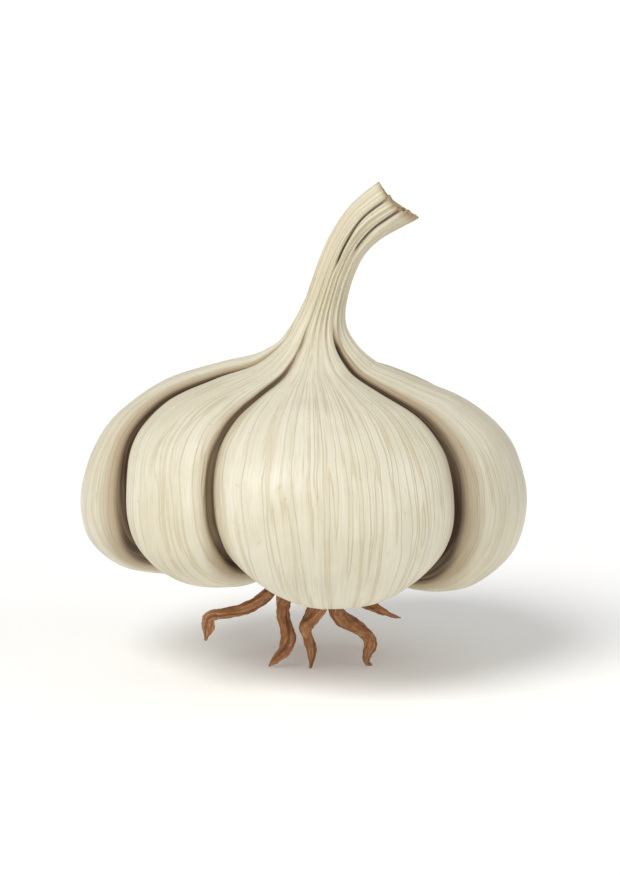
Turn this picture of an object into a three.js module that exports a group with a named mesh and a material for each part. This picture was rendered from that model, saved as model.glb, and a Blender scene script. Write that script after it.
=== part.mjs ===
// Garlic bulb with its curved dry neck, its root plate and its dried roots.
// Millimetres. +Z is up, +X is to the right and -Y is the front.
// The bulb stands on the tips of its roots, which end at z = 0.

import * as THREE from "three";

// ---- Driving dimensions -------------------------------------------------------------

const AXIS_X = 1.8; // the bulb's own axis, set so that the box of the whole is centred
const LOWEST_LOBE = 11.2; // height of the lowest point of the swollen lobes

const PLATE_RADIUS = 8.0; // root plate
const PLATE_TOP = 15.5;
const PLATE_UNDERSIDE = 12.7;
const PLATE_EDGE_ROUND = 0.9; // how far the worn lower edge of the plate draws in
const GAP = 0.3; // between two solids that touch in the real bulb
const ROOT_TOP = PLATE_UNDERSIDE - GAP; // where the roots begin

const NECK_CUT_SLANT = 0.92; // how far the outer corner of the cut end runs ahead of the rim
const NECK_CUT_DIP = 0.75; // how far the front and the back of the cut end fall behind it
const NECK_HOLLOW = 1.5; // depth of the hollow in the cut end
const CUT_BEGINS = 0.75; // the part of the neck above which its rings lean to the cut
const LOBES_FADE = 0.2; // the part of the neck over which the lobes' shape fades out

const SWELL_SQUARENESS = 2.2; // how level a lobe runs across before it falls to its creases
const SWELL_STEEPNESS = 0.55; // how steeply it falls there: the lower, the steeper
const SWELL_STEEPNESS_BELOW = 0.85; // the same at the root plate, where the lobes are narrow
const BELOW_ENDS = 0.45; // the part of the outline over which the one becomes the other

const COLUMNS_PER_LOBE = 9; // mesh columns across one lobe
const BODY_RINGS = 34; // mesh rings from the root plate to the foot of the neck
const NECK_RINGS = 16; // mesh rings from the foot of the neck to its cut end
const ROOT_STEPS = 20; // mesh rings along one root
const ROOT_SIDES = 8;
const NUDGE = 0.001; // the step along an outline that its direction is read over

const SKIN_COLOUR = 0xddd7bf;
const PLATE_COLOUR = 0x9c7a55;
const ROOT_COLOUR = 0xb07850;

// ---- Shapes that are measured ---------------------------------------------------------

// Azimuths run from the front to the right. crease: where the lobe begins, in degrees, at
// five even steps from the root plate to the neck. The next lobe's crease ends the lobe.
const LOBES = [
  { crease: [-18, -25, -30.5, -35.5, -33], reach: 30.3, bottom: 0.4, hip: 0, lift: 0.2 },
  { crease: [32, 37, 42, 45, 30], reach: 28.4, bottom: 0.0, hip: 0, lift: -0.1 },
  { crease: [104, 107, 110, 112, 108], reach: 27.8, bottom: 0.5, hip: 0, lift: 0.0 },
  { crease: [152, 151, 150, 148, 150], reach: 30.0, bottom: 0.7, hip: 0, lift: 0.0 },
  { crease: [194, 192, 190, 189, 191], reach: 28.9, bottom: 0.8, hip: 0, lift: 0.3 },
  { crease: [236, 234, 232, 229, 232], reach: 32.0, bottom: 1.1, hip: 0.04, lift: 1.3 },
  { crease: [300, 301, 298, 279, 282], reach: 30.8, bottom: 2.5, hip: 0.025, lift: 0.6 },
];

// The outline of a lobe from the root plate to the neck, in even steps. share: of the
// lobe's reach. low, hip and high: how much of the lobe's own bottom, hip (the share of its
// reach that it bulges further by, low down) and lift the point takes.
// crease: how deep the crease beside the lobe is there.
const PROFILE = [
  { share: 0.285, z: 14.8, low: 0.0, hip: 0, high: 0.0, crease: 0.0 },
  { share: 0.42, z: 12.5, low: 0.6, hip: 0, high: 0.0, crease: 2.6 },
  { share: 0.6, z: LOWEST_LOBE, low: 1.0, hip: 0, high: 0.0, crease: 4.6 },
  { share: 0.79, z: 12.5, low: 1.0, hip: 1.3, high: 0.0, crease: 4.9 },
  { share: 0.945, z: 16.8, low: 0.6, hip: 0.8, high: 0.0, crease: 4.2 },
  { share: 1.0, z: 22.6, low: 0.2, hip: 0.25, high: 0.0, crease: 3.3 },
  { share: 0.965, z: 28.2, low: 0.0, hip: 0, high: 0.3, crease: 2.7 },
  { share: 0.86, z: 33.0, low: 0.0, hip: 0, high: 0.7, crease: 2.1 },
  { share: 0.68, z: 36.8, low: 0.0, hip: 0, high: 1.0, crease: 1.6 },
  { share: 0.46, z: 39.4, low: 0.0, hip: 0, high: 0.9, crease: 1.2 },
  { share: 0.28, z: 41.4, low: 0.0, hip: 0, high: 0.5, crease: 0.8 },
  { share: 0.162, z: 44.0, low: 0.0, hip: 0, high: 0.0, crease: 0.3 },
];

// The neck's centre line and half width, from its foot to its cut end.
const NECK = [
  { x: 1.8, z: 44.0, radius: 4.6 },
  { x: 1.95, z: 46.0, radius: 3.6 },
  { x: 2.35, z: 48.2, radius: 2.85 },
  { x: 3.0, z: 50.6, radius: 2.5 },
  { x: 4.1, z: 54.0, radius: 2.4 },
  { x: 5.8, z: 57.6, radius: 2.55 },
  { x: 8.4, z: 60.7, radius: 3.0 },
  { x: 12.4, z: 63.6, radius: 3.55 },
];

// Roots: points along the centre line from the plate, the radius at the plate and near the
// tip, and whether the tip stands on the surface or hangs free.
const ROOTS = [
  {
    name: "root_far_left",
    route: [[-4, -1, ROOT_TOP], [-4.3, -1.1, 10.8], [-5.8, -1.6, 9.2], [-8.2, -2, 7.8],
      [-11.2, -2.3, 7.2], [-13.3, -2.4, 6.4], [-13.5, -2.2, 4.9]],
    tip: [-13.7, -2, 3.4],
    radii: [1.3, 0.95],
    stands: false,
  },
  {
    name: "root_left",
    route: [[-2, -2.9, ROOT_TOP], [-2.7, -3.1, 9.8], [-3.2, -3.5, 8.1], [-2.7, -4, 5.5],
      [-2.4, -4.2, 4.1], [-3, -4.2, 2.5], [-4.2, -4, 1.1]],
    tip: [-5.1, -3.9, 0],
    radii: [1.2, 0.95],
    stands: true,
  },
  {
    name: "root_middle",
    route: [[1.2, -3.5, ROOT_TOP], [1.6, -3.8, 8.9], [0.8, -4.3, 7], [-0.1, -4.6, 5.7],
      [0.3, -4.7, 4.3], [0.8, -4.8, 2.4]],
    tip: [0.6, -4.7, 0],
    radii: [1.3, 0.95],
    stands: true,
  },
  {
    name: "root_right",
    route: [[4.2, -2.5, ROOT_TOP], [3.9, -3.1, 8.6], [4.5, -3.4, 6.8], [6.6, -3.5, 5.4],
      [8.3, -3.5, 4.3], [8.9, -3.4, 3.2], [8.4, -3.3, 1.9], [8.3, -3.2, 0.8]],
    tip: [8.7, -3.1, 0],
    radii: [1.3, 1.0],
    stands: true,
  },
  {
    name: "root_far_right",
    route: [[7, -0.6, ROOT_TOP], [7.2, -0.9, 10], [8.2, -1.2, 8.7], [9.5, -1.4, 7.7],
      [11.3, -1.6, 6.9]],
    tip: [13, -1.7, 6.4],
    radii: [1.1, 0.75],
    stands: false,
  },
  {
    name: "root_back_left",
    route: [[-1.6, 4, ROOT_TOP], [-2.8, 5.2, 9], [-3.2, 6.2, 6.5], [-3, 6.8, 5],
      [-2.6, 7.4, 3], [-2.5, 7.8, 1.5]],
    tip: [-3.2, 8, 0],
    radii: [1.15, 0.85],
    stands: true,
  },
  {
    name: "root_back_middle",
    route: [[1.6, 5, ROOT_TOP], [1.5, 6.4, 8.8], [1.4, 7, 6.5], [0.8, 7.6, 5],
      [0, 8.2, 3.5], [0.3, 8.7, 2]],
    tip: [0.7, 9.1, 0],
    radii: [1.15, 0.85],
    stands: true,
  },
  {
    name: "root_back_right",
    route: [[4.6, 3.9, ROOT_TOP], [4.4, 5.2, 9], [4, 6.2, 6.5], [4.7, 6.8, 5],
      [6.5, 7.2, 3.6], [7.9, 7.6, 2.4], [8.6, 7.9, 1.2]],
    tip: [8.4, 8, 0],
    radii: [1.15, 0.85],
    stands: true,
  },
];
const TIP_SHARE = 0.6; // the tip's radius, as a share of the radius just above it
const TIP_LENGTH = 0.25; // the part of a root over which it narrows to the tip

// ---- Closed meshes from rings -----------------------------------------------------------

// Skins a row of rings and closes both ends with a fan. Rings run counterclockwise as seen
// from the end they lead to, so that the faces point out.
function solidFromRings(startPoint, rings, endPoint) {
  const sides = rings[0].length;
  const points = [startPoint, ...rings.flat(), endPoint];
  const index = [];
  const at = (ring, side) => 1 + ring * sides + (side % sides);
  for (let side = 0; side < sides; side++) {
    index.push(0, at(0, side + 1), at(0, side));
    for (let ring = 0; ring < rings.length - 1; ring++) {
      index.push(at(ring, side), at(ring, side + 1), at(ring + 1, side + 1));
      index.push(at(ring, side), at(ring + 1, side + 1), at(ring + 1, side));
    }
    index.push(points.length - 1, at(rings.length - 1, side), at(rings.length - 1, side + 1));
  }
  const geometry = new THREE.BufferGeometry().setFromPoints(points);
  geometry.setIndex(index);
  geometry.computeVertexNormals();
  return geometry;
}

// Reads one value of a table at t, from 0 at its first row to 1 at its last, on a smooth
// curve through all rows.
function along(rows, read, t) {
  const place = t * (rows.length - 1);
  const row = Math.min(Math.floor(place), rows.length - 2);
  const part = place - row;
  const value = (i) => read(rows[Math.min(Math.max(i, 0), rows.length - 1)]);
  const before = (value(row + 1) - value(row - 1)) / 2;
  const after = (value(row + 2) - value(row)) / 2;
  const rise = value(row + 1) - value(row);
  const bend = part * part * (3 * rise - 2 * before - after);
  return value(row) + part * before + bend + part ** 3 * (before + after - 2 * rise);
}

// ---- Bulb: the papery head and its neck, one body ----------------------------------------

// A point of a lobe's own outline, as its distance from the axis and its height.
function lobeOutline(lobe, t) {
  const low = along(PROFILE, (row) => row.low, t);
  const high = along(PROFILE, (row) => row.high, t);
  const hip = lobe.hip * along(PROFILE, (row) => row.hip, t);
  const reach = lobe.reach * (along(PROFILE, (row) => row.share, t) + hip);
  const rim = PLATE_RADIUS + GAP;
  const atRim = Math.max(0, 1 - t * (PROFILE.length - 1));
  return new THREE.Vector2(
    reach + atRim * (rim - reach),
    along(PROFILE, (row) => row.z, t) + low * lobe.bottom + high * lobe.lift,
  );
}

// Where a lobe begins at t. The index after the last lobe is the first lobe, a turn later.
function creaseAzimuth(index, t) {
  const turns = Math.floor(index / LOBES.length);
  const degrees = along(LOBES[index % LOBES.length].crease, (azimuth) => azimuth, t);
  return THREE.MathUtils.degToRad(degrees + 360 * turns);
}

// A point on the bulb: the lobe's outline sinks to the crease that it shares with the next
// lobe. across runs from -1 at one crease to 1 at the other.
function lobePoint(index, across, t) {
  const lobe = LOBES[index];
  const step = across < 0 ? -1 : 1;
  const neighbour = LOBES[(index + step + LOBES.length) % LOBES.length];
  const outline = lobeOutline(lobe, t);
  const ahead = lobeOutline(lobe, Math.min(t + NUDGE, 1));
  const behind = lobeOutline(lobe, Math.max(t - NUDGE, 0));
  const run = ahead.clone().sub(behind).normalize();
  const outward = new THREE.Vector2(run.y, -run.x);
  const depth = along(PROFILE, (row) => row.crease, t);
  const crease = outline.clone().add(lobeOutline(neighbour, t)).multiplyScalar(0.5);
  crease.addScaledVector(outward, -depth);
  const below = Math.max(0, 1 - t / BELOW_ENDS);
  const steepness = THREE.MathUtils.lerp(SWELL_STEEPNESS, SWELL_STEEPNESS_BELOW, below);
  const swell = (1 - Math.abs(across) ** SWELL_SQUARENESS) ** steepness;
  const [radius, z] = crease.lerp(outline, swell);

  const begin = creaseAzimuth(index, t);
  const azimuth = begin + ((creaseAzimuth(index + 1, t) - begin) * (across + 1)) / 2;
  return { azimuth, radius, z };
}

function bodyRing(t) {
  const ring = [];
  for (let index = 0; index < LOBES.length; index++) {
    for (let column = 0; column < COLUMNS_PER_LOBE; column++) {
      const across = -Math.cos((Math.PI * column) / COLUMNS_PER_LOBE);
      ring.push(lobePoint(index, across, t));
    }
  }
  return ring;
}

const onAxis = ({ azimuth, radius, z }) =>
  new THREE.Vector3(AXIS_X + radius * Math.sin(azimuth), -radius * Math.cos(azimuth), z);

// A ring square to the neck's centre line at t, share being its part of the full radius.
// Near the end the rim slants and dips, and sink moves the ring down into the neck.
function neckRing(azimuths, t, share = 1, sink = 0) {
  const centre = (u) =>
    new THREE.Vector3(along(NECK, (row) => row.x, u), 0, along(NECK, (row) => row.z, u));
  const lead = centre(Math.min(t + NUDGE, 1)).sub(centre(Math.max(t - NUDGE, 0))).normalize();
  const right = new THREE.Vector3(lead.z, 0, -lead.x);
  const front = new THREE.Vector3(0, -1, 0);
  const radius = share * along(NECK, (row) => row.radius, t);
  const nearEnd = Math.max(0, (t - CUT_BEGINS) / (1 - CUT_BEGINS)) ** 2;
  return azimuths.map((azimuth) => {
    const side = Math.sin(azimuth);
    const face = Math.cos(azimuth);
    const ahead = nearEnd * share * (NECK_CUT_SLANT * side - NECK_CUT_DIP * face * face) - sink;
    return centre(t)
      .addScaledVector(right, radius * side)
      .addScaledVector(front, radius * face)
      .addScaledVector(lead, ahead);
  });
}

function bulb() {
  const rings = [];
  const plateRim = bodyRing(0);
  const seatTop = PLATE_TOP + GAP;
  rings.push(plateRim.map((point) => onAxis({ ...point, z: seatTop })));
  for (let ring = 0; ring <= BODY_RINGS; ring++) rings.push(bodyRing(ring / BODY_RINGS).map(onAxis));

  // The lobes' shape fades out over the foot of the neck.
  const azimuths = bodyRing(1).map((point) => point.azimuth);
  const bodyTop = rings[rings.length - 1];
  const neckFoot = neckRing(azimuths, 0);
  for (let ring = 1; ring <= NECK_RINGS; ring++) {
    const t = ring / NECK_RINGS;
    const fade = 1 - THREE.MathUtils.smoothstep(t, 0, LOBES_FADE);
    rings.push(neckRing(azimuths, t).map((point, i) =>
      point.addScaledVector(bodyTop[i].clone().sub(neckFoot[i]), fade)));
  }

  // The hollow of the cut end: [share of the radius, share of the depth].
  for (const [share, depth] of [[0.82, 0.35], [0.45, 0.9]]) {
    rings.push(neckRing(azimuths, 1, share, depth * NECK_HOLLOW));
  }
  const hollow = neckRing([0], 1, 0, NECK_HOLLOW)[0];
  return solidFromRings(new THREE.Vector3(AXIS_X, 0, seatTop), rings, hollow);
}

// ---- Root plate: the corky disc that the roots grow from ---------------------------------

function rootPlate() {
  const profile = [
    [0, PLATE_UNDERSIDE],
    [PLATE_RADIUS - PLATE_EDGE_ROUND, PLATE_UNDERSIDE],
    [PLATE_RADIUS - 0.25 * PLATE_EDGE_ROUND, PLATE_UNDERSIDE + 0.75 * PLATE_EDGE_ROUND],
    [PLATE_RADIUS, PLATE_UNDERSIDE + 2 * PLATE_EDGE_ROUND],
    [PLATE_RADIUS - GAP, PLATE_TOP],
    [0, PLATE_TOP],
  ];
  const geometry = new THREE.LatheGeometry(profile.map(([x, y]) => new THREE.Vector2(x, y)), 40);
  geometry.rotateX(Math.PI / 2); // the lathe's axis from +Y to +Z
  geometry.translate(AXIS_X, 0, 0);
  return geometry;
}

// ---- Roots ---------------------------------------------------------------------------------

// A tapering root from just under the plate to its tip. A standing root ends in a flat
// facet on the surface, and a hanging one in a point.
function root({ route, tip, radii, stands }) {
  const points = [...route, tip].map((point) => new THREE.Vector3(...point));
  const curve = new THREE.CatmullRomCurve3(points, false, "centripetal");
  const { normals, binormals } = curve.computeFrenetFrames(ROOT_STEPS, false);
  const centres = curve.getSpacedPoints(ROOT_STEPS);
  const steps = stands ? ROOT_STEPS : ROOT_STEPS - 1;
  const rings = [];
  for (let step = 0; step <= steps; step++) {
    const down = step / ROOT_STEPS;
    const narrowing = THREE.MathUtils.smoothstep(down, 1 - TIP_LENGTH, 1);
    const radius = THREE.MathUtils.lerp(...radii, down) * (1 - (1 - TIP_SHARE) * narrowing);
    const ring = [];
    for (let side = 0; side < ROOT_SIDES; side++) {
      const angle = (2 * Math.PI * side) / ROOT_SIDES;
      const point = centres[step].clone();
      point.addScaledVector(normals[step], radius * Math.cos(angle));
      point.addScaledVector(binormals[step], radius * Math.sin(angle));
      point.z = Math.max(point.z, 0);
      if (step === 0) point.z = ROOT_TOP;
      if (step === ROOT_STEPS) point.z = tip[2];
      ring.push(point);
    }
    rings.push(ring);
  }
  return solidFromRings(centres[0], rings, centres[ROOT_STEPS]);
}

// ---- The whole bulb ------------------------------------------------------------------------

const group = new THREE.Group();

function addPart(name, geometry, color, roughness) {
  const material = new THREE.MeshStandardMaterial({ color, roughness, metalness: 0 });
  const mesh = new THREE.Mesh(geometry, material);
  mesh.name = name;
  group.add(mesh);
}

addPart("bulb", bulb(), SKIN_COLOUR, 0.55);
addPart("root_plate", rootPlate(), PLATE_COLOUR, 0.9);
for (const shape of ROOTS) addPart(shape.name, root(shape), ROOT_COLOUR, 0.85);

export default group;
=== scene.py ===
import math
import random

import bpy
import numpy as np
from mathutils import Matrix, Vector, noise


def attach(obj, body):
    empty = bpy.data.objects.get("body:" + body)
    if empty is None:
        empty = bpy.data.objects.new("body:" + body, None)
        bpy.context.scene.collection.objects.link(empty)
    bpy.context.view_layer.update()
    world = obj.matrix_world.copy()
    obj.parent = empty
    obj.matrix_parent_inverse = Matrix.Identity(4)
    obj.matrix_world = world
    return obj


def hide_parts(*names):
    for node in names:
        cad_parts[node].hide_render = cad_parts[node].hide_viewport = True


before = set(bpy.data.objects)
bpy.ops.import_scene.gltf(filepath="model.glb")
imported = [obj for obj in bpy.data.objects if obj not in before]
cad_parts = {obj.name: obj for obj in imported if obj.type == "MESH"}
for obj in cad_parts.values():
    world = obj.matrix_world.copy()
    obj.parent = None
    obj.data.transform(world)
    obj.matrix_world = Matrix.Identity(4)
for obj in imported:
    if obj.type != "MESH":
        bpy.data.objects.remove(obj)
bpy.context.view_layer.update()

# ---- Camera ---------------------------------------------------------------------------
# A long lens a little above the bulb, looking down on it by ten degrees. The picture is
# taller than it is wide, so the width of the lens's sensor lies along its height.

MM = 0.001
PICTURE_HEIGHT = 875
SCALE = 0.1357 * MM  # one pixel of the picture, measured at the bulb
LENS = 150
SENSOR = 36
LOOKING_DOWN = math.radians(10)
aim = Vector((0.54, 0, 31.1)) * MM

bpy.ops.object.select_all(action="DESELECT")
bpy.ops.object.camera_add()
camera = bpy.context.object
camera.name = "camera"
camera.data.lens = LENS
camera.data.clip_start = 0.01
camera.data.clip_end = 20
distance = SCALE * PICTURE_HEIGHT / SENSOR * LENS
towards_camera = Vector((0, -math.cos(LOOKING_DOWN), math.sin(LOOKING_DOWN)))
camera.location = aim + towards_camera * distance
camera.rotation_mode = "QUATERNION"
camera.rotation_quaternion = (-towards_camera).to_track_quat("-Z", "Y")
bpy.context.scene.camera = camera

# ---- Table and light ------------------------------------------------------------------
# A wide white table top in an evenly white room, with one large soft lamp high on the
# left, so far off that it lights the whole table alike, and a weaker one on the right.

TABLE_RADIUS = 6  # in metres, so wide that its edge is far away

bpy.ops.object.select_all(action="DESELECT")
bpy.ops.mesh.primitive_circle_add(vertices=128, radius=TABLE_RADIUS, fill_type="NGON")
table_top = bpy.context.object
table_top.name = "table_top"
table_paint = bpy.data.materials.new("table_paint")
table_paint.use_nodes = True
table_shader = table_paint.node_tree.nodes["Principled BSDF"].inputs
table_shader["Base Color"].default_value = (0.93, 0.93, 0.925, 1)
table_shader["Roughness"].default_value = 0.7
table_shader["Specular IOR Level"].default_value = 0.1
table_shader["Emission Color"].default_value = (1, 1, 1, 1)
table_shader["Emission Strength"].default_value = 0.13
table_top.data.materials.append(table_paint)

LAMPS = [  # name, the way that it stands from the bulb, strength, spread in degrees, colour
    ("key_lamp", (-0.50, -0.60, 0.85), 2.15, 36, (1, 0.99, 0.97)),
    ("fill_lamp", (0.85, -0.35, 0.35), 0.55, 60, (0.96, 0.98, 1)),
]
for lamp_name, side, strength, spread, colour in LAMPS:
    bpy.ops.object.light_add(type="SUN", location=Vector(side))
    lamp = bpy.context.object
    lamp.name = lamp_name
    lamp.data.energy = strength
    lamp.data.angle = math.radians(spread)
    lamp.data.color = colour
    lamp.rotation_mode = "QUATERNION"
    lamp.rotation_quaternion = (-Vector(side)).to_track_quat("-Z", "Y")

ROOM_LIGHT = 0.42  # how brightly the room lights the bulb
ROOM_WHITE = 1.0  # how bright its walls look
room = bpy.data.worlds.new("room")
bpy.context.scene.world = room
room.use_nodes = True
walls = room.node_tree
seen = walls.nodes.new("ShaderNodeLightPath").outputs["Is Camera Ray"]
brightness = walls.nodes.new("ShaderNodeMapRange")
brightness.inputs["To Min"].default_value = ROOM_LIGHT
brightness.inputs["To Max"].default_value = ROOM_WHITE
walls.links.new(seen, brightness.inputs["Value"])
walls.nodes["Background"].inputs["Color"].default_value = (1, 1, 1, 1)
walls.links.new(brightness.outputs["Result"], walls.nodes["Background"].inputs["Strength"])
bpy.context.scene.view_settings.view_transform = "Standard"

# ---- Papery skin ----------------------------------------------------------------------
# The head and its neck, in one unbroken skin of dry leaf sheaths. The skin is drawn tight
# over seven swollen cloves and sinks between them, and it gathers into pleats where it
# narrows to the neck. It is modelled as one sheet, wrapped round and closed.

AXIS = 1.8  # where the bulb's own axis stands, along X
PLATE_RIM = 8.3  # the radius of the hole in the skin that the root plate fills
SEAT_TOP = 15.8  # the height at which the sheet closes, inside that hole

# Each clove's lobe: the crease it begins at, in degrees from the front to the right, from
# the root plate to the neck, then its reach, how far its bottom is raised, how much further
# it bulges low down, as a share of its reach, and how far its shoulder is raised.
LOBES = [
    ([-18, -25, -30.5, -35.5, -33], 30.3, 0.4, 0.0, 0.2),
    ([32, 37, 42, 45, 30], 28.4, 0.0, 0.0, -0.1),
    ([104, 107, 110, 112, 108], 27.8, 0.5, 0.0, 0.0),
    ([152, 151, 150, 148, 150], 30.0, 0.7, 0.0, 0.0),
    ([194, 192, 190, 189, 191], 28.9, 0.8, 0.0, 0.3),
    ([236, 234, 232, 229, 232], 32.0, 1.1, 0.04, 1.3),
    ([300, 301, 298, 279, 282], 30.8, 2.5, 0.025, 0.6),
]
# Share of the reach, height, how much of the lobe's own bottom, bulge and shoulder this
# point of the outline takes, and how deep the crease beside it is.
PROFILE = np.array([
    (0.285, 14.8, 0.0, 0.0, 0.0, 0.0),
    (0.42, 12.5, 0.6, 0.0, 0.0, 2.6),
    (0.6, 11.2, 1.0, 0.0, 0.0, 4.6),
    (0.79, 12.5, 1.0, 1.3, 0.0, 4.9),
    (0.945, 16.8, 0.6, 0.8, 0.0, 4.2),
    (1.0, 22.6, 0.2, 0.25, 0.0, 3.3),
    (0.965, 28.2, 0.0, 0.0, 0.3, 2.7),
    (0.86, 33.0, 0.0, 0.0, 0.7, 2.1),
    (0.68, 36.8, 0.0, 0.0, 1.0, 1.6),
    (0.46, 39.4, 0.0, 0.0, 0.9, 1.2),
    (0.28, 41.4, 0.0, 0.0, 0.5, 0.8),
    (0.162, 44.0, 0.0, 0.0, 0.0, 0.3),
])
# The neck's centre line, along X and Z, and its half width.
NECK = np.array([
    (1.8, 44.0, 4.6),
    (1.95, 46.0, 3.6),
    (2.35, 48.2, 2.85),
    (3.0, 50.6, 2.5),
    (4.1, 54.0, 2.4),
    (5.8, 57.6, 2.55),
    (8.4, 60.7, 3.0),
    (12.5, 63.45, 3.4),
])
CUT_BEGINS = 0.75  # how far up the neck its rows begin to lean towards the cut
CUT_SLANT = 0.92  # how far the cut leans and dips, as shares of the neck's half width
CUT_DIP = 0.75
CUT_WAY = np.array([0.75, 0, 0.66])  # the way that the neck points there
COLUMNS_PER_LOBE = 60
BODY_ROWS = 148
NECK_ROWS = 66
JUST_BESIDE = 0.001  # share of a table, to each side, that a line's direction is taken from


def along(rows, t):
    """Reads a table at t, from 0 at its first row to 1 at its last, on a smooth curve."""
    rows = np.asarray(rows, float)
    last = len(rows) - 1
    place = np.clip(t, 0, 1) * last
    row = np.minimum(place.astype(int), last - 1)
    part = (place - row)[:, None]
    p0, p1, p2, p3 = (rows[np.clip(row + step, 0, last)] for step in (-1, 0, 1, 2))
    before, after, rise = (p2 - p0) / 2, (p3 - p1) / 2, p2 - p1
    return (p1 + part * before + part**2 * (3 * rise - 2 * before - after)
            + part**3 * (before + after - 2 * rise))


def smooth(low, high, value):
    """A smooth rise from 0 to 1 as value goes from low to high."""
    part = np.clip((value - low) / (high - low), 0, 1)
    return part * part * (3 - 2 * part)


def round_axis(azimuth, radius, height):
    """Places round the bulb's axis. The azimuth goes from the front to the right."""
    return np.stack([AXIS + radius * np.sin(azimuth), -radius * np.cos(azimuth), height], axis=2)


def lobe_outline(lobe, t):
    """The lobe's distance from the axis and its height, and the way that it faces."""
    reach, bottom, bulge, shoulder = lobe[1:]

    def line(at):
        share, height, low, wide, high, _ = along(PROFILE, at).T
        radius = reach * (share + wide * bulge)
        at_rim = np.maximum(0, 1 - at * (len(PROFILE) - 1))
        return np.array([radius + at_rim * (PLATE_RIM - radius),
                         height + low * bottom + high * shoulder]).T

    run = line(np.minimum(t + JUST_BESIDE, 1)) - line(np.maximum(t - JUST_BESIDE, 0))
    run /= np.linalg.norm(run, axis=1)[:, None]
    return line(t), np.stack([run[:, 1], -run[:, 0]], axis=1)


def neck_rows(u, azimuth, share=1.0, sink=0.0):
    """Rows square to the neck's centre line. The last ones slant and dip to its cut end.
    Inner rows take a share of its half width and sink below the cut."""
    lead = along(NECK, u + JUST_BESIDE)[:, :2] - along(NECK, u - JUST_BESIDE)[:, :2]
    lead /= np.linalg.norm(lead, axis=1)[:, None]
    x, z, radius = along(NECK, u).T
    near_end = np.maximum(0, (u - CUT_BEGINS) / (1 - CUT_BEGINS))[:, None] ** 2
    side, face = np.sin(azimuth), np.cos(azimuth)
    ahead = near_end * share * (CUT_SLANT * side - CUT_DIP * face**2) - sink
    radius = radius[:, None] * share
    return np.stack([
        x[:, None] + radius * side * lead[:, 1:] + ahead * lead[:, :1],
        -radius * face,
        z[:, None] - radius * side * lead[:, :1] + ahead * lead[:, 1:],
    ], axis=2)


# across runs from -1 to 1 over each lobe. Columns stand closer together beside the
# creases, where the skin turns sharply.
step = np.arange(COLUMNS_PER_LOBE) / COLUMNS_PER_LOBE
across = np.tile((2 * step - 1 - np.cos(np.pi * step)) / 2, len(LOBES))
lobe_of = np.repeat(np.arange(len(LOBES)), COLUMNS_PER_LOBE)
neighbour = (lobe_of + np.where(across < 0, -1, 1)) % len(LOBES)

# The head. Each lobe is an arch from crease to crease, taken to a power. The smaller the
# power, the steeper the lobe's sides. It is larger near the root plate.
ARCH = 2.2
SIDE_POWER = 0.55
MORE_AT_FOOT = 0.3
FOOT_TOP = 0.45  # how far up the head that dies away
t = np.linspace(0, 1, BODY_ROWS + 1)
outlines, facings = map(np.array, zip(*(lobe_outline(lobe, t) for lobe in LOBES)))
own, other = outlines[lobe_of], outlines[neighbour]
facing = facings[lobe_of] + facings[neighbour]
facing /= np.linalg.norm(facing, axis=2)[:, :, None]
crease_depth = along(PROFILE, t)[:, 5]
crease_line = (own + other) / 2 - facing * crease_depth[None, :, None]
power = SIDE_POWER + MORE_AT_FOOT * np.maximum(0, 1 - t / FOOT_TOP)
swell = (1 - np.abs(across[:, None]) ** ARCH) ** power[None, :]
outline = crease_line + swell[:, :, None] * (own - crease_line)
creases = np.array([along(np.array(lobe[0], float)[:, None], t)[:, 0] for lobe in LOBES])
creases = np.radians(np.vstack([creases, creases[:1] + 360]))
azimuth = creases[lobe_of] + (creases[lobe_of + 1] - creases[lobe_of]) * (across[:, None] + 1) / 2
azimuth, swell = azimuth.T, swell.T
body = round_axis(azimuth, outline[:, :, 0].T, outline[:, :, 1].T)

# The neck, with the small step between it and the head taken up in its lowest part.
STEP_TOP = 0.2  # how far up the neck that ends
CREASES_TOP = 0.4  # how far up the neck the creases between the lobes run out
u = np.arange(1, NECK_ROWS + 1) / NECK_ROWS
neck = neck_rows(u, azimuth[-1])
foot = neck_rows(np.zeros(1), azimuth[-1])
neck += (1 - smooth(0, STEP_TOP, u))[:, None, None] * (body[-1:] - foot)
neck_swell = 1 - (1 - swell[-1:]) * (1 - smooth(0, CREASES_TOP, u))[:, None]

# The shoulders run into the neck in a soft bend.
BEND_ROWS = 14
BEND_PASSES = 60
shape = np.concatenate([body, neck])
beside_bend = np.clip(1 - np.abs(np.arange(len(shape)) - BODY_ROWS) / BEND_ROWS, 0, 1)
for _ in range(BEND_PASSES):
    between = (np.roll(shape, 1, axis=0) + np.roll(shape, -1, axis=0)) / 2
    shape += (between - shape) * beside_bend[:, None, None] / 2

# For every point of the sheet: its azimuth, its rise, which is 0 at the root plate, 1 at
# the foot of the neck and 2 at the cut, and how swollen it is, from 0 in a crease to 1.
row_rise = np.concatenate([t, 1 + u])
turn = np.concatenate([azimuth, np.tile(azimuth[-1], (NECK_ROWS, 1))])
rise = row_rise[:, None] * np.ones_like(turn)
swelling = np.concatenate([swell, neck_swell])


def outward(places):
    """The way each point of a wrapped sheet faces."""
    around = np.roll(places, -1, axis=1) - np.roll(places, 1, axis=1)
    up = np.gradient(places, axis=0)
    facing = np.cross(around, up)
    return facing / np.maximum(np.linalg.norm(facing, axis=2), 1e-9)[:, :, None]


SEED_SPACING = 17.3  # so far apart, two seeds' lumps have nothing in common


def drift(points, size, seed):
    """Smooth noise from -1 to 1 whose lumps are about as large as size."""
    flat = points.reshape(-1, 3) / size + seed * SEED_SPACING
    return np.array([noise.noise(point) for point in flat]).reshape(points.shape[:2])


def uneven(points, lumps):
    """Drifts laid on one another, each given by the size and height of its lumps and a seed."""
    return sum(height * drift(points, size, seed) for size, height, seed in lumps)


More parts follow.
